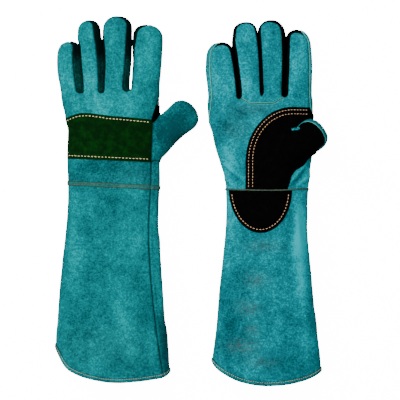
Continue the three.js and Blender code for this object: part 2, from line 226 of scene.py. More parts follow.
def noise(points, size, seed):
    """Smooth random values from -1 to 1, about size across, the same on each run."""
    lattice = np.random.default_rng(seed).uniform(-1, 1, (32, 32, 32))
    p = points / size + 100.5
    cell = np.floor(p).astype(int)
    f = p - cell
    f = f * f * (3 - 2 * f)
    total = 0
    for corner in np.ndindex(2, 2, 2):
        weight = np.prod(np.where(np.array(corner) == 1, f, 1 - f), axis=-1)
        total = total + weight * lattice[tuple(((cell + corner) % 32).T)]
    return total


# %% [markdown]
# ## The shapes
# A digit's frame has its length along s, u across it and v up through it. The roll turns u and v
# a little about the length, because a finger seldom lies quite square.

# %% Sleeve and digit fields
class Digit:
    def __init__(self, name, spec, back):
        self.name, self.spec, self.back = name, spec, back
        self.base, self.tip = np.array(spec["base"], float), np.array(spec["tip"], float)
        self.length = np.linalg.norm(self.tip - self.base)
        self.along = (self.tip - self.base) / self.length
        side = np.cross(self.along, [0, 0, 1])
        self.side = side / np.linalg.norm(side)
        self.up = np.cross(self.side, self.along)
        self.stops, self.bow, self.width, self.depth = np.array(spec["stations"], float).T

    def coordinates(self, points):
        """s along, u across and v up at each point, with the half width and half depth there."""
        local = points - self.base
        s = local @ self.along
        share = s / self.length
        u = local @ self.side - spline(share, self.stops, self.bow)
        v = local @ self.up
        return s, u, v, spline(share, self.stops, self.width), spline(share, self.stops, self.depth)

    def distance(self, points):
        s, u, v, width, depth = self.coordinates(points)
        dome = self.spec["dome"]
        past = np.maximum(s - (self.length - dome), 0)
        before = np.maximum(-s, 0)
        return oval((u, v, past + before), (width, depth, dome), 2.35)

    def rolled(self, points):
        """s, and u and v turned by the roll, towards the back panels."""
        s, u, v, width, depth = self.coordinates(points)
        turn = np.radians(curve(self.spec["roll"], s / self.length))
        v = v * self.back
        return s, u * np.cos(turn) + v * np.sin(turn), v * np.cos(turn) - u * np.sin(turn), width


class Glove:
    def __init__(self, spec):
        self.spec, self.side, self.back = spec, spec["side"], spec["back"]
        hinge = JOINTS[f"{self.side}_wrist_bend"]["pos_m"]
        self.origin = np.array([hinge[0], hinge[1], 0]) / MM
        self.y, self.left, self.right, self.height = np.array(spec["stations"], float).T
        self.digits = [Digit(n, d, self.back) for n, d in spec["digits"].items()]
        for digit in self.digits:
            kind = "lift" if digit.name == "thumb" else "curl"
            joint = JOINTS[f"{self.side}_{digit.name}_{kind}"]
            hinge_at = np.array(joint["pos_m"]) / MM - self.origin
            digit.hinge = float((hinge_at - digit.base) @ digit.along)
            digit.split = digit.hinge + (THUMB_SPLIT if digit.name == "thumb" else FINGER_SPLIT)

    def middle(self, y):
        """The height of the hand's middle above the table."""
        height = spline(y, self.y, self.height)
        return GROUND + height - (height / 2 + SINK / 2)

    def sleeve(self, points):
        x, y, z = points.T
        left, right = spline(y, self.y, self.left), spline(y, self.y, self.right)
        height = spline(y, self.y, self.height)
        rise = height / 2 + SINK / 2
        body = oval((x - (left + right) / 2, z - self.middle(y)), ((right - left) / 2, rise), 2.4)
        return press(body, y - curve(self.spec["crotches"], x) - 2, 8)

    def distance(self, points):
        sleeve = self.sleeve(points)
        fields = [d.distance(points) for d in self.digits]
        fingers = fields[:4]
        total = sleeve
        for i, field in enumerate(fingers):
            for j in (i - 1, i + 1):
                if 0 <= j < 4:
                    lean = FINGER_LEAN * (points[:, 2] - self.middle(points[:, 1])) * (j - i)
                    field = press(field, (field - fields[j]) / 2 + FINGER_GAP + lean, 1.5)
            total = np.minimum(total, melt(sleeve, field, CROTCH_ROUND))
        total = melt(total, fields[4], THUMB_ROUND)
        return press(total, GROUND - 0.9 - points[:, 2], 4)

    def surface(self, inset):
        """Vertices and triangles of the surface that lies inset inside the glove."""
        low = np.array([-98, -292, -4])
        high = np.array([124, 248, 54]) if self.back > 0 else np.array([106, 248, 92])
        axes = [np.arange(a, b, VOXEL) for a, b in zip(low, high)]
        points = np.stack(np.meshgrid(*axes, indexing="ij"), -1).reshape(-1, 3)
        field = self.distance(points).reshape([len(a) for a in axes])
        grid = openvdb.FloatGrid(50)
        grid.copyFromArray(field.astype(np.float32))
        found, tris, quads = grid.convertToPolygons(isovalue=-inset, adaptivity=0)
        verts = np.array(found, float) * VOXEL + low
        halves = quads[:, [0, 1, 2]], quads[:, [0, 2, 3]]
        tris = np.concatenate([np.array(tris).reshape(-1, 3), *halves]).astype(int)
        a, b, c = verts[tris].transpose(1, 0, 2)
        if np.einsum("ij,ij->", a, np.cross(b, c)) < 0:
            tris = tris[:, ::-1]
        return verts, tris


# %% [markdown]
# ## Seams
# A seam is the line where a field is nought. `back` is above nought on the back panels and
# `front` on the palm side ones; between them lie the side strips. The fields of neighbouring
# fingers are mixed by distance, so the strips meet round each crotch.

# %% Seam and patch fields
PALM_ARCH = {"centre": (35, 40), "radii": (66, 75)}
KNUCKLE_TOP = [[-66, 95.5], [-53, 100.5], [0, 98], [55, 93.5]]
KNUCKLE_BOTTOM = [[-66, 39.5], [55, 34]]
KNUCKLE_RISE = 5
WRIST_PATCH = {"centre": (-10.3, 0), "half_width": 43.5, "depth": 59.5}
THUMB_SIDE = {
    "left": [(90, 60), (52, 24), (40, 12), (30, -3)],
    "right": [(90, 66), (62, 48), (44, 35), (33, 20), (26, -3)],
}
CROSS_SEAM = 2.6
CROSS_RISE = 8.5
THUMB_RIM = 3.2
THUMB_RIM_ROOT = 24
LEAF = {"centre": (37.6, 83.6), "radii": (5.6, 2.4)}
FINGER_MIX = 3
FINGER_SEAMS = (92, 118)
PAST_SIDE_SEAM = 12
PALM_TOP = 100
FAR_OFF = 99


def mix(a, b, share):
    return a + (b - a) * share


def inside_outline(x, y, corners):
    """Distance inside a closed outline, and below nought outside it."""
    corners = np.asarray(corners, float)
    points = np.stack([x, y], 1)
    nearest = np.full(len(points), np.inf)
    inside = np.zeros(len(points), bool)
    for a, b in zip(corners, np.roll(corners, -1, 0)):
        edge = b - a
        t = np.clip((points - a) @ edge / (edge @ edge), 0, 1)
        nearest = np.minimum(nearest, np.linalg.norm(points - a - t[:, None] * edge, axis=1))
        spans = (a[1] > y) != (b[1] > y)
        crossing = a[0] + (y - a[1]) * edge[0] / (edge[1] if edge[1] else 1)
        inside ^= spans & (x < crossing)
    return np.where(inside, nearest, -nearest)


def palm_outline(side):
    turn = np.radians(np.linspace(180, 90, 19))
    (cx, cy), (rx, ry) = PALM_ARCH["centre"], PALM_ARCH["radii"]
    arch = [(cx + rx * math.cos(a), cy + ry * math.sin(a)) for a in turn]
    return [(cx - rx, -3), *arch, (90, cy + ry - 1), *THUMB_SIDE[side]]


def hem_outline(points, steps=48):
    """A smooth curve through the hem's points, closed far past the fingertips."""
    stops = np.arange(len(points))
    at = np.linspace(0, len(points) - 1, steps)
    x, y = [spline(at, stops, values) for values in np.array(points, float).T]
    return [*zip(x, y), (200, 400), (-200, 400)]


def finger_seams(glove, points, reach):
    """How far each point is onto the fingers' backs, and onto their fronts."""
    weight = np.exp(-(reach[:4] - reach[:4].min(0)) / FINGER_MIX)
    weight = weight / weight.sum(0)
    strip = glove.spec["strip"]
    back, front = 0, 0
    for share, digit in zip(weight, glove.digits):
        s, u, v, width = digit.rolled(points)
        outer = digit.spec["outer"]
        wrap = smoothstep(-0.3, 0.6, u * outer / width) if outer else 0
        back = back + share * (v - strip + wrap * (strip + OUTER_DROP))
        front = front + share * (-v - strip + wrap * (strip - OUTER_DROP))
    return back, front


def cross_seam_fields(glove, x, y):
    """The seam at the roots of the set-in fingers, and where those fingers are."""
    left_end, right_end = glove.spec["crotches"][0], glove.spec["crotches"][2]
    ends = smoothstep(left_end[0] + 14, left_end[0] - 4, x)
    ends = ends + smoothstep(right_end[0] - 14, right_end[0] + 4, x)
    across = np.minimum(x - left_end[0] + 3, right_end[0] + 3 - x)
    return {
        "cross": y - min(left_end[1], right_end[1]) + CROSS_SEAM - CROSS_RISE * ends,
        "sewn_on": np.minimum(across + (y > 130) * 20, y - PALM_TOP),
    }


def palm_patch_field(glove, x, y, rise, thumb, rim, on_thumb):
    """How far inside the black palm leather each point is, and how far outside the gusset."""
    palm = inside_outline(x, y, palm_outline(glove.side))
    (cx, cy), (rx, ry) = LEAF["centre"], LEAF["radii"]
    leaf = np.hypot((x - cx) / rx, (y - cy) / ry) - 1
    black = mix(palm, np.minimum(np.maximum(palm, thumb), rim), on_thumb)
    black = np.minimum(black, np.where(y < 80, 2 - rise + 30 * on_thumb, FAR_OFF))
    return black, leaf * ry


def wrist_patch_field(x, y):
    (cx, cy), a, b = WRIST_PATCH["centre"], WRIST_PATCH["half_width"], WRIST_PATCH["depth"]
    size = np.hypot((x - cx) / a, (y - cy) / b)
    away = np.hypot(x - cx, y - cy)
    return away / np.maximum(size, 1e-6) - away


def seam_fields(glove, points):
    """All the values that the panels are cut by, at each point."""
    x, y, z = points.T
    rise = (z - glove.middle(y)) * glove.back
    side = curve(glove.spec["side_seam"], y)
    sleeve_back = np.minimum(side - x, rise + LITTLE_SIDE_DROP)
    reach = np.stack([d.distance(points) for d in glove.digits])
    sleeve = glove.sleeve(points)
    finger_back, finger_front = finger_seams(glove, points, reach)
    upper = smoothstep(*FINGER_SEAMS, y)
    s, u, v, width = glove.digits[4].rolled(points)
    thumb = -v - glove.spec["thumb_drop"] + glove.spec["thumb_root"] * smoothstep(57, 44, s)
    rim = width - THUMB_RIM - u + THUMB_RIM_ROOT * smoothstep(64, 40, s)
    on_thumb = smoothstep(-3, 3, np.minimum(sleeve, reach[:4].min(0)) - reach[4])
    turned = glove.spec["edge_turn"] * smoothstep(90, 98, y) * smoothstep(128, 118, y) * smoothstep(53, 61, x)
    main = mix(sleeve_back, finger_back, upper) - turned
    main = np.where(x > side + PAST_SIDE_SEAM, -PAST_SIDE_SEAM, main)
    fields = {
        "main": main,
        "back": mix(main, -thumb, on_thumb * (main <= 0)),
        "front": mix(mix(-sleeve_back, finger_front, upper) + turned, thumb, on_thumb),
        "wrist": y - curve(glove.spec["wrist_line"], x),
        "hem": inside_outline(x, y, hem_outline(glove.spec["hem"])),
        "on_thumb": on_thumb - 0.5,
    }
    for i, digit in enumerate(glove.digits):
        others = np.minimum(np.delete(reach, i, 0).min(0), sleeve + (100 if i < 4 else 0))
        s = digit.coordinates(points)[0]
        fields[digit.name] = np.minimum(s - digit.split, others - reach[i])
        fields[digit.name + "_own"] = others - reach[i]
    fields.update(cross_seam_fields(glove, x, y))
    top, bottom = curve(KNUCKLE_TOP, x), curve(KNUCKLE_BOTTOM, x)
    fields["knuckle"] = np.min([top - y, y - bottom, main - 0.8, rise - KNUCKLE_RISE], axis=0)
    black, leaf = palm_patch_field(glove, x, y, rise, thumb, rim, on_thumb)
    fields["palm"] = np.minimum(np.minimum(black, fields["front"] - 0.4), leaf)
    fields["wrist_patch"] = np.minimum(wrist_patch_field(x, y), -fields["back"])
    return fields


# %% [markdown]
# ## Cutting
# `Skin` keeps one column for each value at each vertex. `cut` puts new vertices where a column
# reaches a level, so that every panel ends on a clean line.

# %% The skin and its cuts
class Skin:
    def __init__(self, points, tris, fields):
        self.names = ["x", "y", "z", *fields]
        self.data = np.column_stack([points, *fields.values()])
        self.tris = tris

    def __getitem__(self, name):
        return self.data[:, self.names.index(name)]

    def add(self, name, values):
        self.names.append(name)
        self.data = np.column_stack([self.data, values])

    @property
    def points(self):
        return self.data[:, :3]

    def cut(self, name, level=0.0, only=None, snap=0.14):
        column = self.names.index(name)
        value = self.data[:, column] - level
        allowed = np.ones(len(value), bool) if only is None else only(self)
        sides = [[0, 1], [1, 2], [2, 0]]
        edges = np.concatenate([self.tris[:, s] for s in sides])
        low, high = edges.min(1), edges.max(1)

        def crossing():
            return (value[low] * value[high] < 0) & allowed[low] & allowed[high]

        share = value[low] / np.where(value[low] == value[high], 1, value[low] - value[high])
        meets = crossing()
        value[low[meets & (share < snap)]] = 0
        value[high[meets & (share > 1 - snap)]] = 0
        self.data[value == 0, column] = level
        meets = crossing()
        keys = low.astype(np.int64) * len(value) + high
        unique, first = np.unique(keys[meets], return_index=True)
        a, b = low[meets][first], high[meets][first]
        t = (value[a] / (value[a] - value[b]))[:, None]
        new = self.data[a] * (1 - t) + self.data[b] * t
        new[:, column] = level
        where = np.full(len(keys), -1)
        where[meets] = np.searchsorted(unique, keys[meets]) + len(value)
        middle = where.reshape(3, -1).T
        self.data = np.concatenate([self.data, new])
        count = (middle >= 0).sum(1)
        pieces = [self.tris[count == 0]]
        for turn in range(3):
            order = [(turn + i) % 3 for i in range(3)]
            once = (count == 1) & (middle[:, turn] >= 0)
            a, b, c = self.tris[once][:, order].T
            p = middle[once, turn]
            pieces += [np.column_stack([a, p, c]), np.column_stack([p, b, c])]
            twice = (count == 2) & (middle[:, (turn + 1) % 3] < 0)
            a, b, c = self.tris[twice][:, order].T
            p, q = middle[twice, turn], middle[twice, (turn + 2) % 3]
            pieces += [np.column_stack([a, p, q]), np.column_stack([p, b, c]), np.column_stack([p, c, q])]
        self.tris = np.concatenate(pieces)

    def distance(self, name):
        """The distance from a column's nought line, measured along the surface."""
        value = self[name]
        corners = self.points[self.tris]
        sides = corners[:, [2, 0, 1]] - corners[:, [1, 2, 0]]
        face = np.cross(sides[:, 0], sides[:, 1])
        area = np.maximum((face**2).sum(1), 1e-9)
        turned = np.cross(face[:, None, :], sides)
        slope = (turned * value[self.tris][:, :, None]).sum(1) / area[:, None]
        steep = np.linalg.norm(slope, axis=1)
        total, count = np.zeros(len(value)), np.zeros(len(value))
        for i in range(3):
            total += np.bincount(self.tris[:, i], steep, len(value))
            count += np.bincount(self.tris[:, i], minlength=len(value))
        return np.abs(value) / np.clip(total / np.maximum(count, 1), 0.05, 1.6)

    def over(self, name, level=0.0):
        """The triangles that lie above a level of a column."""
        return self[name][self.tris].mean(1) > level

    def normals(self):
        a, b, c = self.points[self.tris].transpose(1, 0, 2)
        face = np.cross(b - a, c - a)
        total = np.zeros_like(self.points)
        for i in range(3):
            for axis in range(3):
                total[:, axis] += np.bincount(self.tris[:, i], face[:, axis], len(total))
        return unit(total)


# %% [markdown]
# ## Relief
# Sewn leather is never smooth: it sinks at the seams, puckers beside them, sags in broad waves
# and keeps a fold wherever it has been bent. A fold is [x, y, x, y, width, height] from end to
# end, and a valley where its height is below nought; the folds are also painted into the colour,
# as a painted highlight on each ridge and painted shade in each valley. A tone or a smudge is
# [x, y, half width, half length, amount]; the tones mix the leather's uneven tone with painted
# highlights and painted shade. A wave is (height, share of y, size, how far from a seam it is whole).

# %% Relief, tone and painted light
FOLDS = {
    "left": [
        [-48, 128, -45, 106, 2.4, 0.9], [-26, 131, -19, 117, 2.2, 0.8], [-13, 132, -19, 117, 2.2, 0.9],
        [-19, 118, -18, 106, 2.4, 0.9], [-69, 198, -62, 150, 3, 0.9], [-52, 128, -55, 98, 3.5, 0.8],
        [-61, 118, -58, 98, 3, -0.8], [8, 128, 2, 102, 5, -0.7], [30, 120, 24, 100, 5, 0.6],
        [46, 118, 40, 98, 4, -0.6], [60, 74, 66, 48, 3.5, 0.9], [70, 80, 62, 58, 4, -1],
        [-40, 34, 20, 24, 8, -0.7], [-60, 20, -20, 12, 6, 0.6], [-50, -12, 30, -20, 9, -0.7],
        [40, -30, 30, -120, 10, 0.8], [-30, -60, -40, -190, 12, -0.8], [10, -140, 30, -250, 14, 0.9],
        [66, -60, 68, -180, 4, 0.8],
    ],
    "right": [
        [27, 5, 54, 40, 2.6, 1.6], [33, 4, 58, 32, 2.6, -1.4], [40, 3, 60, 22, 3, 1.3],
        [-62, 38, -32, 12, 3, 1.3], [-60, 30, -33, 6, 3, -1.2], [-66, 60, -44, 40, 5, 0.9],
        [-62, 18, -44, 4, 3, 0.9], [-70, 96, -44, 84, 6, -0.8], [-60, 78, -30, 100, 5, 0.6],
        [-34, 118, -36, 104, 3, -0.7], [40, -20, 46, -90, 6, 1.2], [26, -30, 30, -110, 8, -0.9],
        [-40, -60, -46, -160, 12, -1.1], [-10, -80, -20, -210, 14, 1], [34, -150, 24, -250, 12, -0.9],
        [48, -110, 56, -230, 6, 0.9], [-57, 170, -60, 140, 5, -0.6], [50, 160, 47, 130, 5, -0.5],
    ],
}
# Each glove's tones: the leather's own uneven tone together with painted highlights on folds and streaks and
# painted shade on darker zones.
TONES_AND_PAINTED_LIGHT = {
    "left": [
        [80, 78, 22, 34, -1.1], [112, 108, 16, 14, -0.5], [10, 20, 60, 22, -0.25], [-45, 15, 22, 20, -0.3],
        [-20, 150, 60, 50, 0.12], [15, 112, 50, 14, 0.25], [-10, -120, 55, 60, -0.1], [40, -30, 20, 50, 0.1],
        [66, -120, 8, 60, 0.3], [73, -215, 9, 42, -0.9], [-50, -70, 24, 60, 0.05],
    ],
    "right": [
        [46, -52, 8, 44, 1.1], [44, -120, 12, 60, 0.6], [-44, -30, 16, 50, 0.35], [-20, -120, 30, 60, -0.2],
        [52, 22, 10, 22, 0.7], [-50, 90, 30, 22, -0.3], [-20, 108, 30, 10, -0.35], [-62, 150, 14, 50, 0.2],
        [-30, 160, 20, 60, 0.1], [40, 150, 12, 50, 0.15], [-56, 30, 14, 24, 0.5], [-56, -200, 20, 70, -0.3],
        [40, -230, 26, 30, -0.15],
    ],
}
# How strongly the folds are painted into the colour: a painted highlight on each ridge and painted shade in
# each valley.
FOLD_PAINTED_LIGHT = 0.28
FOLD_HEIGHT = 1.5
# Painted shade on the side strips, growing towards the fingertips.
TIP_PAINTED_SHADE = -1.2
WAVES = [(1.5, 0.45, 34, 14), (0.8, 0.6, 13, 8), (0.16, 1, 5, 5)]
RELIEF_LIMITS = (-1.9, 2.6)
SEAM_LEVELS = (-1.1, 0, 1.1)
PATCH_LEVELS = (0, 1.2)
SET_IN_FINGERS = ("ring_finger", "middle_finger")
SMUDGES = {
    "left": [[-10, -220, 60, 30, 0.15], [30, 16, 30, 12, 0.15]],
    "right": [
        [-6, -78, 24, 8, 0.7], [-16, -125, 15, 11, 0.9], [-28, -164, 15, 10, 0.9], [-22, -194, 9, 8, 0.9],
        [-36, -216, 20, 10, 1.0], [-8, -238, 22, 8, 0.7], [-44, 84, 20, 16, 0.4], [-20, 112, 30, 8, 0.5],
    ],
}


def blobs(x, y, spots):
    total = np.zeros(len(x))
    for cx, cy, rx, ry, amount in spots:
        total += amount * np.exp(-(((x - cx) / rx) ** 2) - ((y - cy) / ry) ** 2)
    return total


def fold_height(glove, skin, seed):
    """The folds alone: above nought on a ridge and below it in a valley."""
    p = skin.points
    x, y, z = p.T
    total = np.zeros(len(x))
    for x0, y0, x1, y1, width, depth in FOLDS[glove.side]:
        start, line = np.array([x0, y0]), np.array([x1 - x0, y1 - y0])
        local = np.column_stack([x, y]) - start
        t = local @ line / (line @ line)
        bent = 1.4 * noise(p * [1, 1, 0], 11, seed + 5)
        off = (local[:, 0] * line[1] - local[:, 1] * line[0]) / np.linalg.norm(line) + bent
        total += depth * np.exp(-((off / width) ** 2)) * smoothstep(-0.15, 0.25, t) * smoothstep(1.15, 0.7, t)
    return total * smoothstep(-4, 4, z - glove.middle(y)) * smoothstep(0, 3, skin["seam"])


def relief(glove, skin, seed):
    """How far each vertex is moved along its normal."""
    p = skin.points
    seam = skin["seam"]
    shift = -1.25 * np.exp(-((seam / 0.95) ** 2)) + 0.4 * np.exp(-(((seam - 3.2) / 2) ** 2))
    shift += 0.28 * noise(p, 3.4, seed) * np.exp(-((seam / 3.5) ** 2))
    for i, (height, stretch, size, reach) in enumerate(WAVES):
        shift += height * noise(p * [1, stretch, 1], size, seed + 1 + i) * smoothstep(1, reach, seam)
    shift += FOLD_HEIGHT * fold_height(glove, skin, seed)
    off_table = smoothstep(GROUND + 0.2, GROUND + 6, skin["z"])
    return np.clip(shift, *RELIEF_LIMITS) * off_table


def on_finger_fronts(skin):
    return (skin["front"] > -0.01) & (skin["sewn_on"] > 0)


def cut_seams(glove, skin):
    """Cuts the skin along every seam, every patch's edge and every joint."""
    band = glove.spec["welt"]
    cuts = {
        "hem": (0, HEM_BAND), "wrist": (-band, 0, band),
        "main": SEAM_LEVELS, "back": SEAM_LEVELS, "front": SEAM_LEVELS,
        "knuckle": PATCH_LEVELS, "palm": PATCH_LEVELS, "wrist_patch": PATCH_LEVELS,
    }
    for name, levels in cuts.items():
        for level in levels:
            skin.cut(name, level)
    for level in SEAM_LEVELS:
        skin.cut("cross", level, on_finger_fronts)
    for digit in glove.digits:
        set_in = digit.name in SET_IN_FINGERS
        skin.cut(digit.name, 0, (lambda k: k["front"] < 0.01) if set_in else None)
        if set_in:
            skin.cut(digit.name + "_own", 0, on_finger_fronts)


def make_skin(glove):
    """The whole outer surface of a glove, cut and in relief, with its shading values."""
    points, tris = glove.surface(0)
    skin = Skin(points, tris, seam_fields(glove, points))
    cut_seams(glove, skin)
    cross = np.where(on_finger_fronts(skin), skin.distance("cross"), FAR_OFF)
    seam = np.min([*[skin.distance(name) for name in ("back", "front", "main")], cross], axis=0)
    skin.add("seam", np.minimum(seam, 30))
    seed = 11 if glove.side == "left" else 71
    # Painted light of the folds: a painted highlight on each ridge and painted shade in each valley.
    painted_fold_light = FOLD_PAINTED_LIGHT * fold_height(glove, skin, seed)
    shift = relief(glove, skin, seed)
    skin.data[:, :3] += skin.normals() * shift[:, None]
    visible = smoothstep(-6, 2, skin["z"] - glove.middle(skin["y"]))
    x, y = skin["x"], skin["y"]
    # The tone blobs on the upper side and the folds' painted light: uneven tone with painted highlights and
    # painted shade.
    tone = blobs(x, y, TONES_AND_PAINTED_LIGHT[glove.side]) * visible + painted_fold_light
    # On the side strips the colour is painted shade instead, darker towards the fingertips.
    on_strip = (skin["back"] < 0) & (skin["front"] < 0) & (y > PALM_TOP)
    skin.add("tone", np.where(on_strip, TIP_PAINTED_SHADE * smoothstep(170, 192, y), tone))
    skin.add("smudge", np.clip(blobs(x, y, SMUDGES[glove.side]) * visible, 0, 1))
    return skin


# %% [markdown]
# ## Materials
# Colours are sRGB hex values turned to linear light by one function, and all scales are in
# millimetres. `rest` is each vertex's place on the glove, so that a pattern stays on the leather
# when it bends. `seam` is the distance to the nearest seam.

# %% Shader tools
def colour(code):
    parts = [int(code[i:i + 2], 16) / 255 for i in (1, 3, 5)]
    return (*[c / 12.92 if c <= 0.04045 else ((c + 0.055) / 1.055) ** 2.4 for c in parts], 1)


class Shader:
    def __init__(self, name, **constants):
        self.material = bpy.data.materials.new(name)
        self.material.use_nodes = True
        self.tree = self.material.node_tree
        self.surface = self.tree.nodes["Principled BSDF"]
        for socket, value in constants.items():
            self.surface.inputs[socket.replace("_", " ")].default_value = value

    def add(self, kind, inputs=None, **settings):
        """A new node. Each input is a plain value or another node's output."""
        node = self.tree.nodes.new("ShaderNode" + kind)
        for key, value in settings.items():
            setattr(node, key, value)
        for key, value in (inputs or {}).items():
            if hasattr(value, "node"):
                self.tree.links.new(value, node.inputs[key])
            else:
                node.inputs[key].default_value = value
        return node

    def value(self, name):
        return self.add("Attribute", attribute_name=name).outputs["Fac"]

    def rest(self, scale=(1, 1, 1)):
        place = self.add("Attribute", attribute_name="rest").outputs["Vector"]
        return self.add("Mapping", {"Vector": place, "Scale": scale}).outputs[0]

    def noise(self, size, detail=3, roughness=0.55, scale=(1, 1, 1)):
        inputs = {"Vector": self.rest(scale), "Scale": 1 / size, "Detail": detail, "Roughness": roughness}
        return self.add("TexNoise", inputs).outputs["Fac"]

    def cells(self, size):
        return self.add("TexVoronoi", {"Vector": self.rest(), "Scale": 1 / size}).outputs["Distance"]

    def range(self, value, low, high, to_low=0.0, to_high=1.0):
        inputs = {"Value": value, "From Min": low, "From Max": high, "To Min": to_low, "To Max": to_high}
        return self.add("MapRange", inputs).outputs["Result"]

    def math(self, operation, a, b):
        return self.add("Math", {0: a, 1: b}, operation=operation).outputs[0]

    def blend(self, share, a, b):
        return self.add("Mix", {0: share, 6: a, 7: b}, data_type="RGBA").outputs[2]

    def finish(self, base, bump, height):
        """Joins the base colour and a bump of the given height to the surface."""
        self.tree.links.new(base, self.surface.inputs["Base Color"])
        node = self.add("Bump", {"Height": bump, "Distance": height * MM, "Strength": 1.0})
        self.tree.links.new(node.outputs[0], self.surface.inputs["Normal"])
        return self.material


# %% Leather and cloth
GRIME = "#454A46"
GRIME_SHARE = 0.5
# Painted shade: the near-black line painted along the bottom of each seam's groove, and how strongly.
SEAM_GROOVE_SHADE = "#04211F"
SEAM_GROOVE_SHADE_SHARE = 0.93


def suede(name, light, middle, dark, edge, edge_share):
    """Split leather: a mottled nap, a band of the edge colour beside each seam and a near-black line of
    painted shade in each seam's groove. The band is a raw cut edge, except on the left glove's panels and
    side strips, where its dark colour is painted shade.
    """
    s = Shader(name, Roughness=0.95, Sheen_Weight=0.06, Sheen_Roughness=0.5, Specular_IOR_Level=0.02)
    s.surface.inputs["Sheen Tint"].default_value = colour(light)
    nap = s.range(s.noise(1.6, 3, 0.75), 0.35, 0.65, -1, 1)
    layers = [
        (s.range(s.noise(34, 3, 0.5, (1, 0.6, 1)), 0.3, 0.7, -1, 1), 0.2),
        (s.range(s.noise(11, 3, 0.6), 0.35, 0.65, -1, 1), 0.09),
        (s.range(s.noise(4.6, 3, 0.7), 0.38, 0.62, -1, 1), 0.08),
        (s.range(s.noise(2.4, 2, 0.6), 0.38, 0.62, -1, 1), 0.17),
        (nap, 0.16),
        # The leather's uneven tone with painted highlights and painted shade, read from the vertices.
        (s.value("tone"), 0.55),
    ]
    level = s.add("Value").outputs[0]
    level.default_value = 0.5
    for layer, weight in layers:
        level = s.math("ADD", level, s.math("MULTIPLY", layer, weight))
    low = s.blend(s.range(level, 0, 0.5), colour(dark), colour(middle))
    base = s.blend(s.range(level, 0.5, 1.0), low, colour(light))
    grime = s.math("MULTIPLY", s.value("smudge"), s.range(s.noise(3.2, 4, 0.7, (0.6, 1, 1)), 0.38, 0.58))
    base = s.blend(s.math("MULTIPLY", grime, GRIME_SHARE), base, colour(GRIME))
    seam = s.value("seam")
    ragged = s.math("ADD", seam, s.range(s.noise(0.9, 2, 0.6), 0.3, 0.7, -0.25, 0.25))
    # A band of the edge colour beside each seam: the raw cut edge on the right glove, painted shade on the
    # left glove's panels and strips.
    edge_band = s.math("MULTIPLY", s.range(ragged, 0.45, 0.75), s.range(ragged, 1.5, 1.1))
    base = s.blend(s.math("MULTIPLY", edge_band, edge_share), base, colour(edge))
    # Painted shade in the seam's groove.
    groove_shade = s.range(ragged, 0.6, 0.35)
    base = s.blend(s.math("MULTIPLY", groove_shade, SEAM_GROOVE_SHADE_SHARE), base, colour(SEAM_GROOVE_SHADE))
    height = s.math("ADD", s.math("MULTIPLY", nap, 0.5), s.noise(0.45, 2, 0.8))
    return s.finish(base, height, 0.35)


def grain_leather(name, light, dark, roughness):
    """Smooth-side leather with fine pebbled grain and faint scuffs."""
    s = Shader(name, Roughness=roughness, Specular_IOR_Level=0.02)
    scuffs = s.range(s.noise(9, 5, 0.7), 0.45, 0.75)
    base = s.blend(scuffs, colour(dark), colour(light))
    pebbles = s.cells(1.3)
    height = s.math("ADD", pebbles, s.math("MULTIPLY", s.noise(6, 3), 0.8))
    return s.finish(base, height, 0.2)


def cloth(name, light, dark, size, height):
    """Woolly or woven cloth, with tufts of the given size."""
    s = Shader(name, Roughness=0.95, Sheen_Weight=0.4)
    woolly = s.range(s.noise(size, 4, 0.7), 0.3, 0.7)
    return s.finish(s.blend(woolly, colour(dark), colour(light)), woolly, height)


def thread(name, light, dark):
    """Sewing thread with faint marks across it where its strands are wound."""
    s = Shader(name, Roughness=0.6, Sheen_Weight=0.3)
    wound = s.range(s.noise(0.5, 2, 0.5, (1, 2.5, 1)), 0.3, 0.7)
    return s.finish(s.blend(wound, colour(dark), colour(light)), wound, 0.1)


# On the left glove the dark edge colour is painted shade beside the seams; on the right glove the light one
# is the raw cut edge.
SUEDE = {
    "left": suede("teal_suede_back", "#008589", "#005A5E", "#00353A", "#021E1C", 0.55),
    "right": suede("teal_suede_palm", "#00909A", "#005E66", "#00383E", "#4E9A8A", 0.7),
}
# The side strips' dark colours are painted shade between the fingers, where a teal strip would lie in shadow;
# the left strips' black edge colour is painted shade beside the seams.
STRIP_PAINTED_SHADE = {
    "left": suede("dark_suede", "#004842", "#002825", "#000B0A", "#010303", 0.7),
    "right": grain_leather("black_side_leather", "#050505", "#010101", 0.9),
}
BLACK = grain_leather("black_leather", "#040202", "#000000", 0.85)
GREEN = grain_leather("green_leather", "#042A06", "#011503", 0.85)
WELT = suede("welt_leather", "#2A6C66", "#1A5450", "#0E3C3A", "#46402C", 0.85)
BINDING = suede("binding_suede", "#007A7C", "#00565A", "#00343A", "#2C2C22", 0.8)
FLEECE = cloth("fleece_lining", "#D9D2C2", "#A79F8C", 2.2, 0.9)
CANVAS = cloth("canvas_lining", "#8FA6A2", "#5E7673", 0.8, 0.3)
CREAM_THREAD = thread("cream_thread", "#E8DAA8", "#B8A468")
TAN_THREAD = thread("tan_thread", "#C9A071", "#94704A")
print(len(bpy.data.materials), "materials")


# %% [markdown]
# ## Pieces
# `sheet_piece` makes an object from chosen triangles of the skin. It keeps the normals of the
# whole glove, so two panels that only part at a joint still look like one. `patch_piece` lifts
# its triangles by a leather's thickness and gives them a cut edge.

# %% Piece makers
EDGE_ROUND = 1.2
SHADING = ("seam", "tone", "smudge")
made = []


def link(name, data):
    obj = bpy.data.objects.new(name, data)
    bpy.context.scene.collection.objects.link(obj)
    return obj


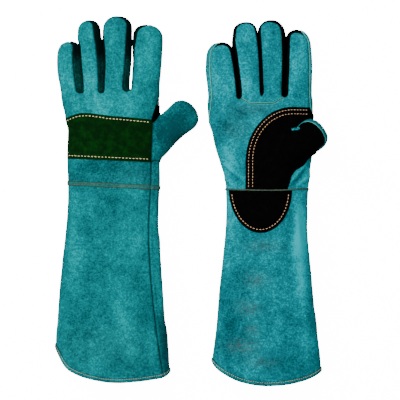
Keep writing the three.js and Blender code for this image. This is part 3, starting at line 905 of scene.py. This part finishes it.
def new_object(glove, name, points, faces, material, normals=None, values=None):
    """A smooth mesh, moved from the glove's own frame to its place in the scene."""
    name = f"{glove.side}_{name}"
    mesh = bpy.data.meshes.new(name)
    mesh.from_pydata(((points + glove.origin) * MM).tolist(), [], faces.tolist())
    mesh.polygons.foreach_set("use_smooth", np.ones(len(mesh.polygons), bool))
    rest = mesh.attributes.new("rest", "FLOAT_VECTOR", "POINT")
    rest.data.foreach_set("vector", points.astype(np.float32).ravel())
    for key, value in (values or {}).items():
        layer = mesh.attributes.new(key, "FLOAT", "POINT")
        layer.data.foreach_set("value", np.asarray(value, np.float32))
    mesh.materials.append(material)
    if normals is not None:
        mesh.normals_split_custom_set_from_vertices(normals.tolist())
    obj = link(name, mesh)
    made.append(obj)
    return obj


def at(glove, point):
    return tuple((np.asarray(point, float) + glove.origin) * MM)


def follow(glove, obj, part, stands_for=()):
    """Joins a cuff piece to its cuff body; a piece of the hand or of a digit only has its transform baked
    into its mesh. Hides the imported parts that it stands for.
    """
    side = glove.side
    if part == "cuff":
        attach(obj, f"{side}_cuff")
    elif part == "hand":
        start = glove.spec["welt"] + glove.spec["wrist_line"][0][1] + 0.5
        first, last = (0, start, 0), (0, start + WRIST_BEND, 0)
        at(glove, first)
        at(glove, last)
        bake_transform(obj)
    else:
        digit = next(d for d in glove.digits if d.name == part)
        reach = THUMB_BEND if part == "thumb" else FINGER_BEND
        first = digit.base + digit.along * digit.split
        last = first + digit.along * reach
        at(glove, first)
        at(glove, last)
        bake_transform(obj)
    if stands_for:
        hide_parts(*[f"{side}_{n}" for n in stands_for])
    return obj


def rim_edges(tris):
    """The edges that belong to only one of the triangles."""
    edges = np.concatenate([tris[:, [0, 1]], tris[:, [1, 2]], tris[:, [2, 0]]])
    keys = edges.min(1).astype(np.int64) * (tris.max() + 1) + edges.max(1)
    _, index, count = np.unique(keys, return_index=True, return_counts=True)
    return edges[index[count == 1]]


def compact(skin, chosen):
    tris = skin.tris[chosen]
    used, faces = np.unique(tris, return_inverse=True)
    return used, faces.reshape(-1, 3)


def sheet_piece(glove, skin, normals, name, chosen, material):
    used, faces = compact(skin, chosen)
    values = {k: skin[k][used] for k in SHADING}
    return new_object(glove, name, skin.points[used], faces, material, normals[used], values)


def patch_piece(glove, skin, normals, name, chosen, edge, material, lift):
    """A raised layer. edge is the distance inside its cut edge."""
    used, faces = compact(skin, chosen)
    inside = np.abs(edge[used])
    height = lift * (0.5 + 0.5 * np.sqrt(np.clip(inside / EDGE_ROUND, 0, 1)))
    top = skin.points[used] + normals[used] * height[:, None]
    rim = rim_edges(faces)
    rim = rim[(inside[rim] < 0.2).all(1)]
    a, b = rim.T
    out = unit(np.cross(top[b] - top[a], normals[used][a]))
    down = normals[used] * WALL
    corners = np.concatenate([np.arange(len(used)), a, b, b, a])
    points = np.concatenate([top, top[a], top[b], top[b] - down[b], top[a] - down[a]])
    turned = np.concatenate([normals[used], out, out, out, out])
    n = len(rim)
    i = np.arange(n) + len(used)
    wall = [np.column_stack([i + n, i, i + 3 * n]), np.column_stack([i + n, i + 3 * n, i + 2 * n])]
    values = {k: skin[k][used[corners]] for k in SHADING}
    # The distance inside the cut edge stands for the seam distance, so a suede patch gets the edge band and
    # the painted groove shade along its cut edge.
    values["seam"] = inside[corners]
    return new_object(glove, name, points, np.concatenate([faces, *wall]), material, turned, values)


# %% [markdown]
# ## Stitches, welts and the hem
# A row of stitches is a line on the surface with a short rounded thread at each step, its ends
# dipping into the leather.

# %% Stitch and binding makers
STEEPEST = 0.25
STITCH_SIDES = 6
STITCH_RINGS = 7
BINDING_STEPS = 180
BINDING_SECTION = [
    (HEM_BAND, -0.4), (HEM_BAND, 0.75), (HEM_BAND - 0.8, 1.1), (3, 1.3), (0.8, 1.2), (-0.4, 0.7),
    (-0.9, -0.6), (-0.9, -2.6), (-0.2, -4.6), (1.2, -5.4), (HEM_BAND, -5.6), (HEM_BAND, -4.4),
]
STITCHES = {
    "hem": {"pitch": 3.2, "length": 2.0, "radius": 0.32},
    "knuckle": {"pitch": 4.8, "length": 3, "radius": 0.42},
    "palm": {"pitch": 4.3, "length": 2.7, "radius": 0.42},
    "wrist": {"pitch": 4.5, "length": 2.9, "radius": 0.48},
}


def surface_line(tree, line, upper, lift):
    """Points on the top or the underside along a line, raised by lift, each with its normal."""
    way = -1 if upper else 1
    found = []
    for x, y in line:
        hit, normal, *_ = tree.ray_cast(Vector((x, y, -200 * way)), Vector((0, 0, way)))
        if hit is not None and abs(normal.z) >= STEEPEST:
            found.append((np.array(hit) + np.array(normal) * lift, np.array(normal)))
    return found


def distance_along(points):
    """How far each point lies from the first one, measured along the line."""
    return np.concatenate([[0], np.cumsum(np.linalg.norm(np.diff(points, axis=0), axis=1))])


def stitch_row(glove, found, name, material, pitch, length, radius):
    points = np.array([f[0] for f in found])
    normals = np.array([f[1] for f in found])
    run = distance_along(points)
    sides, rings = STITCH_SIDES, STITCH_RINGS
    verts, faces = [], []
    turn = np.linspace(0, 2 * math.pi, sides, endpoint=False)
    for centre in np.arange(pitch / 2, run[-1] - length / 2, pitch):
        stops = centre + np.linspace(-0.5, 0.5, rings) * length
        path = np.column_stack([np.interp(stops, run, points[:, i]) for i in range(3)])
        up = np.array([np.interp(centre, run, normals[:, i]) for i in range(3)])
        t = np.linspace(-1, 1, rings)
        path = path + up * (radius * (0.55 - 1.1 * t**4))[:, None]
        along = path[-1] - path[0]
        across = np.cross(along, up)
        across /= np.linalg.norm(across)
        wide = radius * np.sqrt(np.clip(1.02 - t**6, 0.05, 1))
        first = len(verts) * sides * rings
        ring = path[:, None] + wide[:, None, None] * (
            np.cos(turn)[None, :, None] * across + 0.8 * np.sin(turn)[None, :, None] * up)
        verts.append(ring.reshape(-1, 3))
        for r in range(rings - 1):
            for k in range(sides):
                a, b = first + r * sides + k, first + r * sides + (k + 1) % sides
                faces.append((a, b, b + sides, a + sides))
    return new_object(glove, name, np.concatenate(verts), np.array(faces), material)


def ordered_loop(edges):
    """Vertices of the longest closed chain in a set of edges."""
    nearby = {}
    for a, b in edges.tolist():
        nearby.setdefault(a, []).append(b)
        nearby.setdefault(b, []).append(a)
    left, best = set(nearby), []
    while left:
        start = left.pop()
        chain, before, here = [start], None, start
        while True:
            onward = [n for n in nearby[here] if n != before and (n in left or n == start)]
            if not onward or onward[0] == start:
                break
            before, here = here, onward[0]
            left.discard(here)
            chain.append(here)
        best = max(best, chain, key=len)
    return best


def around(rows, run):
    """Evenly spaced values round a closed loop, from the values at its points."""
    stops = np.linspace(0, run[-1], BINDING_STEPS, endpoint=False)
    return np.column_stack([np.interp(stops, run, np.append(c, c[0])) for c in rows.T])


def hem_binding(glove, skin, normals):
    """A folded strip over the edge of the cuff, from the outside round to the lining."""
    edges = rim_edges(skin.tris[skin.over("hem")])
    edges = edges[(np.abs(skin["hem"][edges]) < 0.05).all(1)]
    loop = np.array(ordered_loop(edges))
    run = distance_along(skin.points[[*loop, loop[0]]])
    points, up = around(skin.points[loop], run), around(normals[loop], run)
    ahead = np.roll(points, -2, 0) - np.roll(points, 2, 0)
    inward = np.cross(ahead, up)
    inward = unit(inward * np.sign(inward[:, 1:2]))
    waves = 0.12 * noise(points, 4, 9)
    rings = []
    for along, rise in BINDING_SECTION:
        wavy = waves if rise > 0.5 else 0 * waves
        rings.append(points + inward * along + up * (rise + wavy)[:, None])
    count = len(BINDING_SECTION)
    verts = np.stack(rings, 1).reshape(-1, 3)
    i = np.arange(BINDING_STEPS)[:, None] * count + np.arange(count - 1)
    j = np.roll(np.arange(BINDING_STEPS), -1)[:, None] * count + np.arange(count - 1)
    faces = np.stack([i, i + 1, j + 1, j], -1).reshape(-1, 4)
    values = {k: np.zeros(len(verts)) for k in SHADING}
    # A seam value near nought on the two rings where the binding meets the cuff's outside, so the suede
    # paints its groove shade there.
    values["seam"] = np.tile([0.3 if n in (0, 1) else 2.5 for n in range(count)], BINDING_STEPS)
    obj = new_object(glove, "hem_binding", verts, faces, BINDING, None, values)
    line = [(p + n * 1.15 + w * (HEM_BAND - 1.6), n) for p, n, w in zip(points, up, inward)]
    return obj, line + line[:1]


# %% [markdown]
# ## The gloves' parts
# `regions` sorts the skin's triangles into cuff, hand and digits, and into back, front and strip.
# The functions after it make the panels, the raised patches, the stitches and the linings.

# %% Panels
WELT_LIFTS = {"narrow": 1.9, "wide": 1.0}
ROW_STEP = 0.8
KNUCKLE_ROWS = (("top", KNUCKLE_TOP, -4.2), ("bottom", KNUCKLE_BOTTOM, 4.2))
KNUCKLE_ENDS = (-68, 58)
PALM_ROWS = (("outer", 4.2), ("inner", 9.8))
PALM_ROW_END = 56
WRIST_ROW_INSET = 4.6


def regions(glove, skin):
    """A mask of triangles for each part and each face of the glove."""
    inside = skin.over("hem")
    hand = inside & skin.over("wrist")
    back = skin.over("back")
    front = ~back & (skin.over("front") | ~skin.over("y", PALM_TOP))
    in_digit = {d.name: skin.over(d.name) & hand for d in glove.digits}
    for name in SET_IN_FINGERS:
        in_front = skin.over("cross") & skin.over(name + "_own") & skin.over("sewn_on")
        in_digit[name] = np.where(front, in_front, in_digit[name]) & hand
    return {
        "inside": inside,
        "cuff": inside & ~skin.over("wrist"),
        "hand": hand & ~np.any(list(in_digit.values()), axis=0),
        "back": back,
        "front": front,
        "strip": ~back & ~front,
        **in_digit,
    }


def outer_panels(glove, skin, normals, region):
    strip_shade_material = STRIP_PAINTED_SHADE[glove.side]
    cuff, back, front, strip = [region[k] for k in ("cuff", "back", "front", "strip")]
    thumb_base = region["hand"] & skin.over("on_thumb")
    hand = region["hand"] & ~thumb_base

    def sheet(name, chosen, part, stands_for=(), material=SUEDE[glove.side]):
        obj = sheet_piece(glove, skin, normals, name, chosen, material)
        follow(glove, obj, part, stands_for)

    sheet("cuff_back_panel", cuff & back, "cuff", ["cuff_back"])
    sheet("cuff_palm_panel", cuff & ~back, "cuff", ["cuff_palm"])
    sheet("hand_back_panel", hand & back, "hand", ["back_of_hand"])
    sheet("palm_panel", hand & front, "hand", ["palm"])
    sheet("thumb_base_panel", thumb_base, "hand")
    # The crotch strips and side strips take the painted shade material for the dark between the fingers.
    sheet("crotch_strips", hand & strip, "hand", (), strip_shade_material)
    for name in [d.name for d in glove.digits[:4]]:
        own = region[name]
        sheet(f"{name}_back_panel", own & back, name, [f"{name}_back"])
        sheet(f"{name}_front_panel", own & front, name, [f"{name}_front"])
        sheet(f"{name}_side_strip", own & strip, name, [f"{name}_fourchette"], strip_shade_material)
    thumb = region["thumb"]
    sheet("thumb_back_panel", thumb & ~front, "thumb", ["thumb_back"])
    sheet("thumb_front_under", thumb & front, "thumb")


# %% Raised patches and welts
def raised_patches(glove, skin, normals, region):
    hand, black = region["hand"], skin.over("palm")
    band = glove.spec["welt"]
    skin.add("welt", band - np.abs(skin["wrist"]))
    welt_lift = WELT_LIFTS["narrow" if band < 2 else "wide"]

    def patch(name, chosen, edge, material, part, stands_for, lift=LIFT):
        obj = patch_piece(glove, skin, normals, name, chosen, skin[edge], material, lift)
        follow(glove, obj, part, [stands_for])

    knuckle, wrist = skin.over("knuckle"), skin.over("wrist_patch")
    patch("knuckle_band", hand & knuckle, "knuckle", GREEN, "hand", "knuckle_patch")
    patch("palm_reinforcement", hand & black, "palm", BLACK, "hand", "palm_patch")
    patch("thumb_reinforcement", region["thumb"] & black, "palm", BLACK, "thumb", "thumb_front")
    patch("wrist_reinforcement", region["cuff"] & wrist, "wrist_patch", BLACK, "cuff", "wrist_patch")
    patch("wrist_seam_welt", region["inside"] & skin.over("welt"), "welt", WELT, "cuff", "wrist_welt",
          welt_lift)


# %% Rows of stitches
def sew(glove, found, name, kind, material, part):
    follow(glove, stitch_row(glove, found, name, material, **STITCHES[kind]), part)


def knuckle_rows(glove, tree):
    for name, table, shift in KNUCKLE_ROWS:
        xs = np.arange(*KNUCKLE_ENDS, ROW_STEP)
        ys = curve(table, xs) + shift
        found = surface_line(tree, zip(xs, ys), glove.back > 0, LIFT)
        end = curve(glove.spec["side_seam"], ys).mean() - 3
        found = [f for f in found if f[0][0] < end]
        sew(glove, found, f"knuckle_{name}_stitches", "knuckle", CREAM_THREAD, "hand")


def palm_rows(glove, tree):
    (cx, cy), (rx, ry) = PALM_ARCH["centre"], PALM_ARCH["radii"]
    for name, inset in PALM_ROWS:
        turn = np.radians(np.linspace(180, 90, 90))
        line = [(cx - rx + inset, y) for y in np.arange(3, cy, ROW_STEP)]
        line += [(cx + (rx - inset) * math.cos(a), cy + (ry - inset) * math.sin(a)) for a in turn]
        line += [(x, cy + ry - inset) for x in np.arange(cx + ROW_STEP, PALM_ROW_END, ROW_STEP)]
        found = surface_line(tree, line, glove.back < 0, LIFT)
        sew(glove, found, f"palm_{name}_stitches", "palm", TAN_THREAD, "hand")


def wrist_row(glove, tree):
    cx, cy = WRIST_PATCH["centre"]
    a, b = WRIST_PATCH["half_width"] - WRIST_ROW_INSET, WRIST_PATCH["depth"] - WRIST_ROW_INSET
    turn = np.linspace(math.pi * 1.03, math.pi * 1.97, 160)
    line = [(cx + a * math.cos(t), cy + b * math.sin(t)) for t in turn]
    found = surface_line(tree, line, glove.back < 0, LIFT)
    sew(glove, found, "wrist_stitches", "wrist", TAN_THREAD, "cuff")


# %% Linings
def linings(glove):
    """One lining for each part, cut from the inner surface. Returns its count of triangles."""
    points, tris = glove.surface(LINING_DEPTH)
    lining = Skin(points, tris, seam_fields(glove, points))
    lining.cut("hem", LINING_EDGE)
    lining.cut("wrist", 0)
    for digit in glove.digits:
        lining.cut(digit.name, 0)
    for key in SHADING:
        lining.add(key, np.zeros(len(lining.data)) + 20)
    normals = lining.normals()
    inner = lining.over("hem", LINING_EDGE)
    own = {d.name: lining.over(d.name) & inner for d in glove.digits}
    rest = inner & lining.over("wrist") & ~np.any(list(own.values()), axis=0)
    for part, chosen in {"cuff": inner & ~lining.over("wrist"), "hand": rest, **own}.items():
        material, finish = (CANVAS, "canvas_lining") if part == "cuff" else (FLEECE, "fleece_lining")
        obj = sheet_piece(glove, lining, normals, f"{part}_inner_lining", chosen, material)
        follow(glove, obj, part, [f"{part}_lining"])
    return len(lining.tris)


# %% [markdown]
# ## Build both gloves
# The skin is made once for each glove, and every outer piece is taken from it.

# %% Build
def build(spec):
    glove = Glove(spec)
    skin = make_skin(glove)
    normals = skin.normals()
    region = regions(glove, skin)
    outer_panels(glove, skin, normals, region)
    raised_patches(glove, skin, normals, region)
    binding, line = hem_binding(glove, skin, normals)
    follow(glove, binding, "cuff", ["hem_binding"])
    sew(glove, line, "hem_stitches", "hem", TAN_THREAD, "cuff")
    tree = BVHTree.FromPolygons(skin.points.tolist(), skin.tris.tolist())
    knuckle_rows(glove, tree)
    palm_rows(glove, tree)
    wrist_row(glove, tree)
    inner = linings(glove)
    print(glove.side, "glove:", len(skin.tris), "outer triangles and", inner, "inner ones")


build(LEFT)
build(RIGHT)

# %% [markdown]
# ## Floor, light and camera
# The pair lies on a white table under broad soft light. The camera looks straight down.

# %% Floor, light and camera
CAMERA_HEIGHT = 2.2
SIGHT_HEIGHT = 0.02
SPAN = 0.5584
VIEW_MIDDLE = (0.01397, 0.0009)
SENSOR = 36
FLOOR = 6
FLOOR_DROP = -0.0005
WHITE = (1, 1, 1, 1)
floor_mesh = bpy.data.meshes.new("floor")
corners = [(-FLOOR, -FLOOR), (FLOOR, -FLOOR), (FLOOR, FLOOR), (-FLOOR, FLOOR)]
floor_mesh.from_pydata([(*corner, FLOOR_DROP) for corner in corners], [], [(0, 1, 2, 3)])
floor = link("floor", floor_mesh)
paper = Shader("white_paper", Roughness=0.9, Specular_IOR_Level=0.1, Emission_Strength=14)
paper.surface.inputs["Emission Color"].default_value = WHITE
paper.surface.inputs["Base Color"].default_value = (0.95, 0.95, 0.95, 1)
floor_mesh.materials.append(paper.material)
floor.visible_diffuse = False
floor.visible_glossy = False
world = bpy.context.scene.world or bpy.data.worlds.new("studio")
bpy.context.scene.world = world
world.use_nodes = True
sky = world.node_tree.nodes["Background"]
sky.inputs["Color"].default_value = WHITE
sky.inputs["Strength"].default_value = 0.45


def area_light(name, place, size, power):
    data = bpy.data.lights.new(name, "AREA")
    data.energy, data.size = power, size
    lamp = link(name, data)
    lamp.location = place
    lamp.rotation_euler = (-Vector(place)).to_track_quat("-Z", "Y").to_euler()


area_light("overhead", (-0.3, 0.4, 1.9), size=1.4, power=70)
area_light("key", (-1.1, 0.9, 0.9), size=0.35, power=26)
camera_data = bpy.data.cameras.new("camera")
camera_data.sensor_width = SENSOR
camera_data.lens = SENSOR * (CAMERA_HEIGHT - SIGHT_HEIGHT) / SPAN
camera = link("camera", camera_data)
camera.location = (*VIEW_MIDDLE, CAMERA_HEIGHT)
bpy.context.scene.camera = camera

# %% Finish
print(len(made), "pieces")
